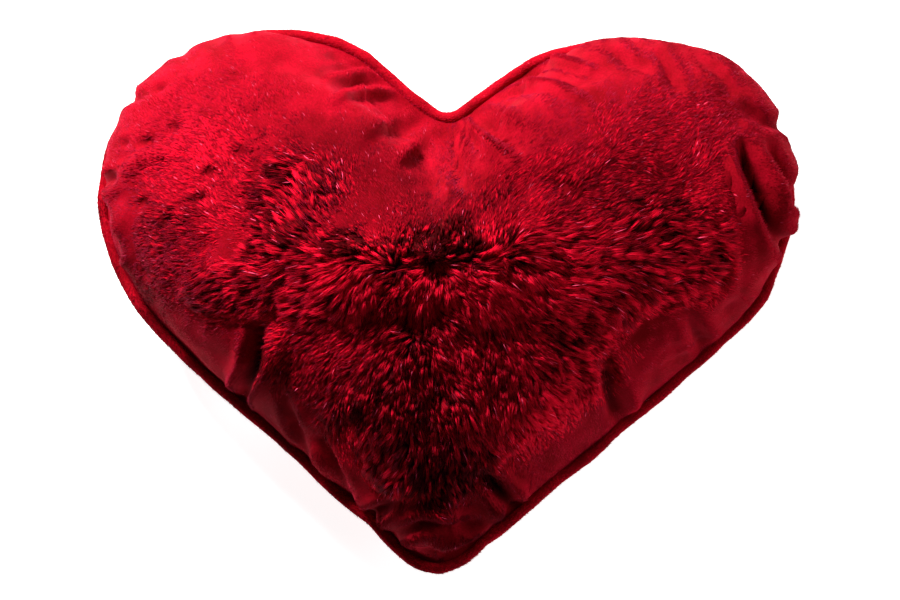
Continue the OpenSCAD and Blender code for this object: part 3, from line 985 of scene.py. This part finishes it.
# Where the pile is long and tousled
LONG_PATCHES = [
    ((-80, 44), (23, 28), 0.85), ((-66, 50), (18, 16), 0.35), ((-56, 7), (40, 21), 0.95),
    ((-1, 10), (38, 22), 1.0), ((61, 8), (64, 25), 1.0), ((124, 22), (40, 27), 0.9),
    ((33, -31), (68, 34), 0.7), ((-51, -34), (42, 32), 0.4), ((-6, -80), (46, 38), 0.8),
    ((-107, -2), (34, 16), 0.65), ((158, 8), (18, 24), 0.5), ((60, -64), (46, 28), 0.5),
    ((-68, 62), (26, 14), 0.3), ((98, 50), (56, 26), 0.34), ((14, 38), (48, 14), 0.2),
    ((-146, 24), (26, 36), 0.3), ((-122, 60), (34, 34), 0.2), ((132, 84), (40, 24), 0.2),
]
# Where it stands up; its strands also get a darker tone there, as painted shade
UPRIGHT_PATCHES = [
    ((-12, 29), (44, 12), 1.0), ((-19, -2), (8, 13), 0.9), ((10, -103), (24, 17), 0.6),
    ((-28, -64), (22, 11), 0.4), ((120, 44), (34, 7), 0.6), ((-118, -10), (16, 6), 0.6),
]
# Patches of painted shade: the pile and its ground get a darker tone there
PAINTED_SHADE_PATCHES = [
    ((-50, 72), (42, 24), 0.95), ((6, -128), (48, 20), 0.9), ((96, 56), (46, 18), 0.6),
    ((-84, -64), (36, 24), 0.95), ((10, -103), (30, 20), 0.7), ((-70, 90), (12, 8), 0.3),
    ((46, 84), (16, 9), 0.5), ((165, 60), (14, 30), 0.4), ((116, 30), (38, 20), 0.4),
    ((-158, 18), (34, 34), 0.8), ((4, 44), (56, 18), 0.9), ((-72, 42), (36, 30), 0.9),
    ((0, -70), (50, 26), 0.6), ((120, 80), (30, 20), 0.3),
]
# the nicks get painted shade too
PAINTED_SHADE_PATCHES += [(nick, (4, 2.6), 0.9) for nick in NICKS]
# Patches of painted light: the pile gets a brighter tone there
PAINTED_LIGHT_PATCHES = [
    ((-156, 96), (34, 34), 0.9), ((30, -2), (46, 14), 1.0), ((0, -1), (20, 12), 0.9),
    ((82, -70), (52, 22), 1.0), ((120, 0), (34, 22), 0.1), ((-12, 76), (13, 12), 0.8),
    ((-42, 6), (20, 11), 0.9), ((20, -45), (34, 20), 0.1),
]
# Where the short pile is ruffled
RUFFLED_PATCHES = [
    ((-132, 80), (48, 44), 0.9), ((-150, 20), (30, 38), 0.7), ((140, 92), (34, 24), 0.8),
    ((112, 70), (30, 18), 0.4), ((60, -88), (30, 18), 0.4), ((-94, 108), (24, 12), 0.5),
    ((-30, 66), (60, 26), 0.4), ((70, 72), (70, 30), 0.4),
]


front_normal = normals_of(front_grid, 1)
back_normal = normals_of(back_grid, -1)
from_seam = np.linalg.norm(front_grid[:, :, :2] - EDGE[:, None, :], axis=2)
# How long the pile is over the front, from 0 to 1
front_long = patches(front_grid, LONG_PATCHES, 0.42, 0.11) * smooth(from_seam, 14, 36)
# Painted shade on the ground under the long pile, in the folds and in the patches of painted shade, which
# front_ground reads
front_ground_shade = np.maximum(front_long, 0.9 * front_crease)
front_ground_shade = np.maximum(front_ground_shade, 0.45 * patches(front_grid, PAINTED_SHADE_PATCHES, 0.6, 0.1))
ground_shade_layer = front_cover.data.attributes.new("painted_ground_shade", "FLOAT", "POINT")
ground_shade_values = np.zeros(len(front_cover.data.vertices), np.float32)
ground_shade_values[: front_ground_shade.size] = front_ground_shade.ravel()
ground_shade_layer.data.foreach_set("value", ground_shade_values)


def painted_light_and_shade(places):
    """From -1, in the patches of painted shade, to 1, in the patches of painted light."""
    return patches(places, PAINTED_LIGHT_PATCHES, 0.6, 0.1) - patches(places, PAINTED_SHADE_PATCHES, 0.6, 0.1)


def glint_flecked(tones, rng, share):
    """Keeps the tones under that of a fleck, but for a small share of them, which get the top tone: pale pink
    flecks of painted highlight.
    """
    return np.where(rng.uniform(0, 1, len(tones)) < share, 0.98, np.minimum(tones, 0.92))


def pile_of(roots, ups, ways, lengths, widths, lean, tones, bend, rings=1, paling=0.0):
    """The fields of a pile in the order that strands() takes them. Lean is in degrees."""
    lean = np.radians(lean)
    bend = np.broadcast_to(bend, len(roots))
    paling = np.broadcast_to(paling, len(roots))
    return (roots, ups, ways, lengths, widths, lean, bend, tones, paling), rings


# Numbers of strands
LONG_COUNT = 140000
SHORT_COUNT = 190000
BACK_COUNT = 92000
PIPING_COUNT = 50000
# Lengths of the strands. The long pile's shortest are LONG_START, and its longest LONG_GAIN more.
LONG_START = 3.4
LONG_GAIN = 10.1
SHORT_LENGTHS = (2.8, 4.4)
BACK_LENGTHS = (3.2, 5.2)
PIPING_LENGTHS = (1.2, 2.4)
# Half widths of the strands
LONG_WIDTHS = (0.24, 0.44)
SHORT_WIDTHS = (0.26, 0.46)
BACK_WIDTHS = (0.4, 0.7)
PIPING_WIDTHS = (0.22, 0.4)
# Sizes of the locks of the long pile, of the tufts that they form, and of the short pile's locks
LOCK = 2.0
TUFT = 9.0
SHORT_LOCK = 1.8
# Shares of the strands that are pale pink flecks of painted highlight
LONG_GLINT_FLECKS = 0.007
SHORT_GLINT_FLECKS = 0.006
# No strand of the back reaches lower
BACK_FLOOR = 0.3


def long_pile():
    """Locks of several strands whose tips come together."""
    spread_over = front_long**0.8 * (front_long > 0.04)
    roots, ups, rng, read = scatter(front_grid, front_normal, spread_over, LONG_COUNT, 40)
    here = read(front_long)
    stand = patches(roots, UPRIGHT_PATCHES, 0.5, 0.1)
    from_whorl = [np.linalg.norm(roots[:, :2] - middle, axis=1) for middle, _ in WHORLS]
    # the strands in the middle of a whorl stand up
    stand = np.clip(stand + 0.8 * np.exp(-((np.min(from_whorl, axis=0) / 6) ** 2)), 0, 1)
    lock, lock_id = gathered(roots, LOCK, 50)
    tuft_id = gathered(roots, TUFT, 60)[1]
    locks = lock_id.max() + 1
    lift = rng.uniform(-1, 1, locks)[lock_id]
    tuft = rng.uniform(-1, 1, tuft_id.max() + 1)[tuft_id]
    lengths = (LONG_START + LONG_GAIN * here**1.5) * (1 - 0.4 * stand) * rng.uniform(0.85, 1.15, len(roots))
    lengths *= rng.uniform(0.75, 1.2, locks)[lock_id]
    ways = combed(lock) + rng.normal(0, 0.11, (locks, 3))[lock_id]
    # painted shade: the strands at a lock's sides get a darker tone than those along its middle, for the
    # shade between locks
    aside = np.linalg.norm(np.cross(lock - roots, normalised(ways)), axis=1)
    ways += 0.75 * (lock - roots) / lengths[:, None] + rng.normal(0, 0.06, (len(roots), 3))
    # the longer the pile, the less it lies down, and the more its locks and tufts differ
    lean = 77 - 22 * here + (2 + 9 * here) * lift + 6 * here * tuft - 34 * stand * here
    lean = lean + rng.normal(0, 2.5, len(roots))
    bend = np.radians(7 + 20 * here + 5 * here * lift)
    widths = rng.uniform(*LONG_WIDTHS, len(roots)) * (0.8 + 0.3 * here)
    # the long pile is given a darker tone than the short, but a few locks a brighter one, as painted
    # highlight for glints
    glint = rng.uniform(0, 1, locks)[lock_id] ** 2.1
    # painted shade: strands that stand up, in the upright patches and the whorls' middles, get a darker tone
    tones = 0.58 - 0.24 * here + 0.95 * here * glint + 0.12 * tuft * here - 0.36 * stand * here
    # painted shade in the folds, and painted light and shade from the patches
    tones += rng.normal(0, 0.10, len(roots)) - 0.4 * read(front_crease) + 0.33 * painted_light_and_shade(roots)
    # painted shade at the sides of each lock
    tones -= 0.26 * here**0.5 * np.minimum(aside, 1.2)
    tones = glint_flecked(tones, rng, LONG_GLINT_FLECKS)
    # less painted shade at the roots where the pile is short
    paling = 0.75 * (1 - smooth(here, 0.15, 0.7))
    return pile_of(roots, ups, ways, lengths, widths, lean, tones, bend, 2, paling)


def short_pile():
    """The nap of the smooth parts, lying almost flat, with some of it ruffled."""
    ring = np.arange(FRONT_RINGS)[None, :] / FRONT_RINGS
    seam_thin = 0.4 + 0.6 * smooth(ring, 0.0, 0.05)
    spread_over = (1 - 0.9 * front_long) ** 0.7 * seam_thin
    roots, ups, rng, read = scatter(front_grid, front_normal, spread_over, SHORT_COUNT, 70)
    here = read(front_long)
    lock, lock_id = gathered(roots, SHORT_LOCK, 73)
    locks = lock_id.max() + 1
    ruffled = np.clip(patches(roots, RUFFLED_PATCHES, 0.5, 0.15) + here, 0, 1)
    lengths = rng.uniform(*SHORT_LENGTHS, len(roots)) * (1 + 0.7 * here)
    ways = combed(roots, 0.4) + rng.normal(0, 0.08, (len(roots), 3))
    astray = rng.normal(0, 0.25, (locks, 3))[lock_id]
    ways += ruffled[:, None] * (astray + 0.6 * (lock - roots) / lengths[:, None])
    widths = rng.uniform(*SHORT_WIDTHS, len(roots))
    lean = 81 - ruffled * (10 + 8 * rng.uniform(-1, 1, locks)[lock_id])
    lean = lean + rng.normal(0, 1.5, len(roots))
    tones = 0.6 + ruffled * (0.16 * rng.uniform(-1, 1, locks)[lock_id] - 0.05)
    tones = tones + rng.normal(0, 0.06, len(roots))
    # painted light and shade from the patches, and painted shade in the folds
    tones += 0.34 * painted_light_and_shade(roots) - 0.45 * read(front_crease)
    tones = glint_flecked(tones, rng, SHORT_GLINT_FLECKS)
    return pile_of(roots, ups, ways, lengths, widths, lean, tones, 0.09)


def grow(name, pile, parts, look, owner, lowest=None):
    """Makes the strands of a pile as several pieces that ride with the cloth they grow from."""
    fields, rings = pile
    count = len(fields[0])
    for part in range(parts):
        pick = slice(part * count // parts, (part + 1) * count // parts)
        picked = [field[pick] for field in fields]
        made = strands(f"{name}_{part + 1}", *picked, rings, look, lowest)
        made.parent = owner


grow("long_pile", long_pile(), 8, LONG_PILE, front_cover)
grow("short_pile", short_pile(), 5, SHORT_PILE, front_cover)


def back_pile():
    """The nap of the back. It lies down from the seam, and is pressed flat underneath."""
    spread_over = 1 - 0.97 * under_label(back_grid)
    roots, ups, rng, _ = scatter(back_grid, back_normal, spread_over, BACK_COUNT, 80)
    down = np.column_stack([-roots[:, :2] * 0.002, np.full(len(roots), -1.0)])
    turn = 0.6 * waves(roots, 50, 81)
    level = np.column_stack([np.sin(turn), -np.cos(turn), np.zeros(len(turn))])
    flat = smooth(-ups[:, 2], 0.9, 0.99)[:, None]
    ways = down * (1 - flat) + level * flat + rng.normal(0, 0.12, (len(roots), 3))
    lengths = rng.uniform(*BACK_LENGTHS, len(roots))
    widths = rng.uniform(*BACK_WIDTHS, len(roots))
    lean = 76 + 3 * waves(roots, 24, 82) + rng.normal(0, 2.5, len(roots))
    tones = 0.52 + 0.05 * waves(roots, 30, 82) + rng.normal(0, 0.09, len(roots))
    return pile_of(roots, ups, ways, lengths, widths, lean, tones, 0.09)


grow("back_pile", back_pile(), 2, SHORT_PILE, back_cover, BACK_FLOOR)


def piping_pile():
    """The short fuzz of the piping, lying round it."""
    normal = normalised(piping_grid - piping_grid.mean(axis=1, keepdims=True))
    even = np.ones(piping_grid.shape[:2])
    roots, ups, rng, _ = scatter(piping_grid, normal, even, PIPING_COUNT, 90)
    around = np.column_stack([-roots[:, 1], roots[:, 0], np.zeros(len(roots))])
    ways = normalised(around) + rng.normal(0, 0.35, (len(roots), 3))
    lengths = rng.uniform(*PIPING_LENGTHS, len(roots))
    widths = rng.uniform(*PIPING_WIDTHS, len(roots))
    lean = rng.normal(68, 7, len(roots))
    tones = 0.5 + 0.12 * waves(roots, 18, 91) + rng.normal(0, 0.12, len(roots))
    return pile_of(roots, ups, ways, lengths, widths, lean, tones, 0.1)


grow("piping_pile", piping_pile(), 1, PIPING_PILE, piping)


# ---- Inner pad and filling, hidden in the cover ----
def calmed(grid, reach):
    """The grid without its small wrinkles."""
    total = sum(np.roll(grid, k, axis=0) for k in range(-reach, reach + 1)) / (2 * reach + 1)
    inward = 4
    padded = np.pad(total, ((0, 0), (inward, inward), (0, 0)), mode="edge")
    window = 2 * inward + 1
    return sum(padded[:, k : k + grid.shape[1]] for k in range(window)) / window


# The pad's grids take every third point of the panels', and leave out the rings by the seam
COARSE = (slice(None, None, 3), slice(9, None, 3))


def inner_grid(grid, facing, inset):
    """A surface the same shape as a panel but further in, with the puckers of thin cotton."""
    calm = calmed(grid, 9)
    further = (calm - normals_of(calm, facing) * inset)[COARSE]
    fade = 1 - smooth(np.arange(further.shape[1]), 2, 9)
    pucker = waves(further, 9, 94) * fade * 0.5 + waves(further, 34, 96) * 0.4
    return further - normals_of(further, facing) * np.abs(pucker)[:, :, None]


# How far inside the panels the pad lies, and the thickness and lining rings of its case
TOP_INSET = 9.5
LOW_INSET = 3.4
CASE = 0.8
CASE_RINGS = 14
pad_top_grid = inner_grid(smooth_front, 1, TOP_INSET)
# it gives way under the folds of the front, and near them
near = range(-8, 9, 2)
sunk = np.max([np.roll(front_crease, k, axis=0) for k in near], axis=0)
sunk = np.max([np.roll(sunk, k, axis=1) for k in near], axis=0)[COARSE]
pad_top_grid = pad_top_grid - normals_of(pad_top_grid, 1) * (9 * sunk)[:, :, None]
pad_top_grid[:, :, 2] = np.minimum(pad_top_grid[:, :, 2], front_grid[COARSE][:, :, 2] - 6)
pad_low_grid = inner_grid(smooth_back, -1, LOW_INSET)
pad_top_middle = np.subtract([*CENTRE, smooth_front[:, -1, 2].mean()], [0, 0, TOP_INSET])
pad_low_middle = np.array([0, 0, FLOOR_CLOTH + LOW_INSET])
pad_top = closed_sheet("pad_front_case", pad_top_grid, pad_top_middle, 1, CASE, CASE_RINGS, COTTON)
pad_low = closed_sheet("pad_back_case", pad_low_grid, pad_low_middle, -1, CASE, CASE_RINGS, COTTON)


def filling():
    """The lump of fibre inside the pad, closed all round."""
    inset = 1.4
    top = pad_top_grid - normals_of(pad_top_grid, 1) * inset
    low = pad_low_grid - normals_of(pad_low_grid, -1) * inset
    top = top - normals_of(pad_top_grid, 1) * np.abs(0.7 * waves(top, 14, 95))[:, :, None]
    grid = np.concatenate([top[:, ::-1], low], axis=1)
    middles = [pad_top_middle - [0, 0, 2], pad_low_middle + [0, 0, inset]]
    points = np.vstack([grid.reshape(-1, 3), *middles])
    return make_mesh("fibre_filling", points, sheet_faces(*grid.shape[:2]), FIBRE)


fill = filling()


# ---- Care label, and the strip of cloth over the zip ----
def cloth_strip(name, grid, thick, look):
    """A strip of cloth with two sides and closed edges, from a grid of its outer side."""
    rows, columns = grid.shape[:2]
    normal = normalised(np.cross(np.gradient(grid, axis=0), np.gradient(grid, axis=1)))
    points = np.vstack([grid.reshape(-1, 3), (grid - normal * thick).reshape(-1, 3)])
    count = rows * columns
    number = np.arange(count).reshape(rows, columns)
    edge = np.concatenate([number[:-1, 0], number[-1, :-1], number[:0:-1, -1], number[0, :0:-1]])
    after = np.roll(edge, -1)
    faces = np.vstack([
        triangles(rows, columns, closed=False),
        triangles(rows, columns, count, closed=False)[:, ::-1],
        np.column_stack([edge, edge + count, after + count]),
        np.column_stack([edge, after + count, after]),
    ])
    return make_mesh(name, points, faces, look)


def care_label():
    """A piece of satin tape sewn in under the piping, whose free end curls away."""
    across, down = np.meshgrid(np.linspace(0, 1, 28), np.linspace(0, 1, 34), indexing="ij")
    along = LABEL_MIDDLE + LABEL_WIDE * (0.5 - across)
    # out from the band: a slight belly, the curl of the free end, and a ripple
    out = 4.8 + 0.7 * np.sin(math.pi * down) + 2.4 * down**3 + 0.5 * np.sin(math.pi * across) * down
    out += 0.25 * np.sin(9 * across + 4 * down)
    grid = on_band(along, -1.0 - LABEL_LONG * down, out, -1)
    return cloth_strip("care_label_satin", grid, LABEL_THICK, SATIN)


WELT_THICK = 0.8


def zip_welt():
    """The edge of cloth between the piping and the top of the upper tape."""
    # it reaches past the slot's ends
    past = SLOT_HALF + 3
    along, k = np.meshgrid(np.linspace(-past, past, 160), np.linspace(0, 1, 8), indexing="ij")
    out = 1.5 - 3.9 * k + 0.15 * np.sin(along * 0.9)
    up = -1.9 - 1.0 * np.sqrt(k)
    return cloth_strip("zip_welt", on_band(along, up, out), WELT_THICK, BACK_GROUND)


label = care_label()
welt = zip_welt()

# ---- Who rides on what ----
for piece, slot_name, nodes in (
    (front_cover, "front_plush", ["front_panel"]),
    (back_cover, "back_plush", ["back_panel"]),
    (piping, "piping_plush", ["piping_cover"]),
    (pad_top, "pad_cotton", ["pad_front"]),
    (pad_low, "pad_cotton", ["pad_back"]),
    (fill, "fibre", ["fibre_fill"]),
    (cord, "cord_cotton", ["piping_cord"]),
    (label, "label_satin", ["care_label"]),
    (welt, "back_plush", []),
):
    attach(piece, "cover")
    if nodes:
        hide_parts(*nodes)


# ---- Floor, light and camera ----
def studio_floor():
    """A white sheet far larger than the view, with the bottom of the part on it."""
    made, tree, shader = material("floor_paper", Roughness=0.9, Specular_IOR_Level=0.1)
    grain = noise(tree, object_place(tree), 40, 3)
    painted(tree, shader, ramp(tree, grain, [(0.3, (0.90, 0.90, 0.90)), (0.7, (0.93, 0.93, 0.93))]))
    shader.inputs["Emission Color"].default_value = (1, 1, 1, 1)
    shader.inputs["Emission Strength"].default_value = 0.9
    size = 40000.0
    corners = np.array([[-size, -size, 0], [size, -size, 0], [size, size, 0], [-size, size, 0]])
    sheet = make_mesh("floor", corners, np.array([[0, 1, 2, 3]]), made)


def area_light(name, place, target, power, width, height):
    """A white rectangular light in metres and watts."""
    lamp = bpy.data.lights.new(name, "AREA")
    lamp.shape = "RECTANGLE"
    lamp.size = width
    lamp.size_y = height
    lamp.energy = power
    made = bpy.data.objects.new(name, lamp)
    made.location = place
    made.rotation_euler = (Vector(target) - Vector(place)).to_track_quat("-Z", "Y").to_euler()
    bpy.context.scene.collection.objects.link(made)


def camera(azimuth, elevation, distance, roll, centre, width_seen):
    """A long-lens camera that looks at a point, in metres and degrees. Azimuth 0 looks along +Y."""
    az, el = math.radians(azimuth), math.radians(elevation)
    back = Vector((-math.sin(az) * math.cos(el), -math.cos(az) * math.cos(el), math.sin(el)))
    lens = bpy.data.cameras.new("camera")
    sensor = 36
    lens.sensor_width = sensor
    lens.lens = sensor * distance / width_seen
    lens.clip_end = 100
    made = bpy.data.objects.new("camera", lens)
    up = Vector((0, 1, 0))
    right = up.cross(back).normalized()
    top = back.cross(right)
    turn = Matrix((right, top, back)).transposed().to_4x4()
    place = Matrix.Translation(Vector(centre) + back * distance)
    made.matrix_world = place @ turn @ Matrix.Rotation(math.radians(roll), 4, "Z")
    bpy.context.scene.collection.objects.link(made)
    bpy.context.scene.camera = made


studio_floor()
area_light("key", (-0.62, 1.10, 0.86), (0, 0.02, 0.06), power=58, width=0.42, height=0.28)
area_light("low", (1.6, 0.35, 0.5), (0, 0, 0.05), power=11, width=0.8, height=0.6)
world = bpy.data.worlds.new("studio")
world.use_nodes = True
dim = world.node_tree.nodes["Background"]
dim.inputs["Color"].default_value = (1, 1, 1, 1)
dim.inputs["Strength"].default_value = 0.04
bpy.context.scene.world = world
bpy.context.scene.view_settings.view_transform = "Standard"
camera(
    azimuth=-60, elevation=82, distance=2.7, roll=1.2, centre=(0.0033, -0.002, 0.046), width_seen=0.5085,
)
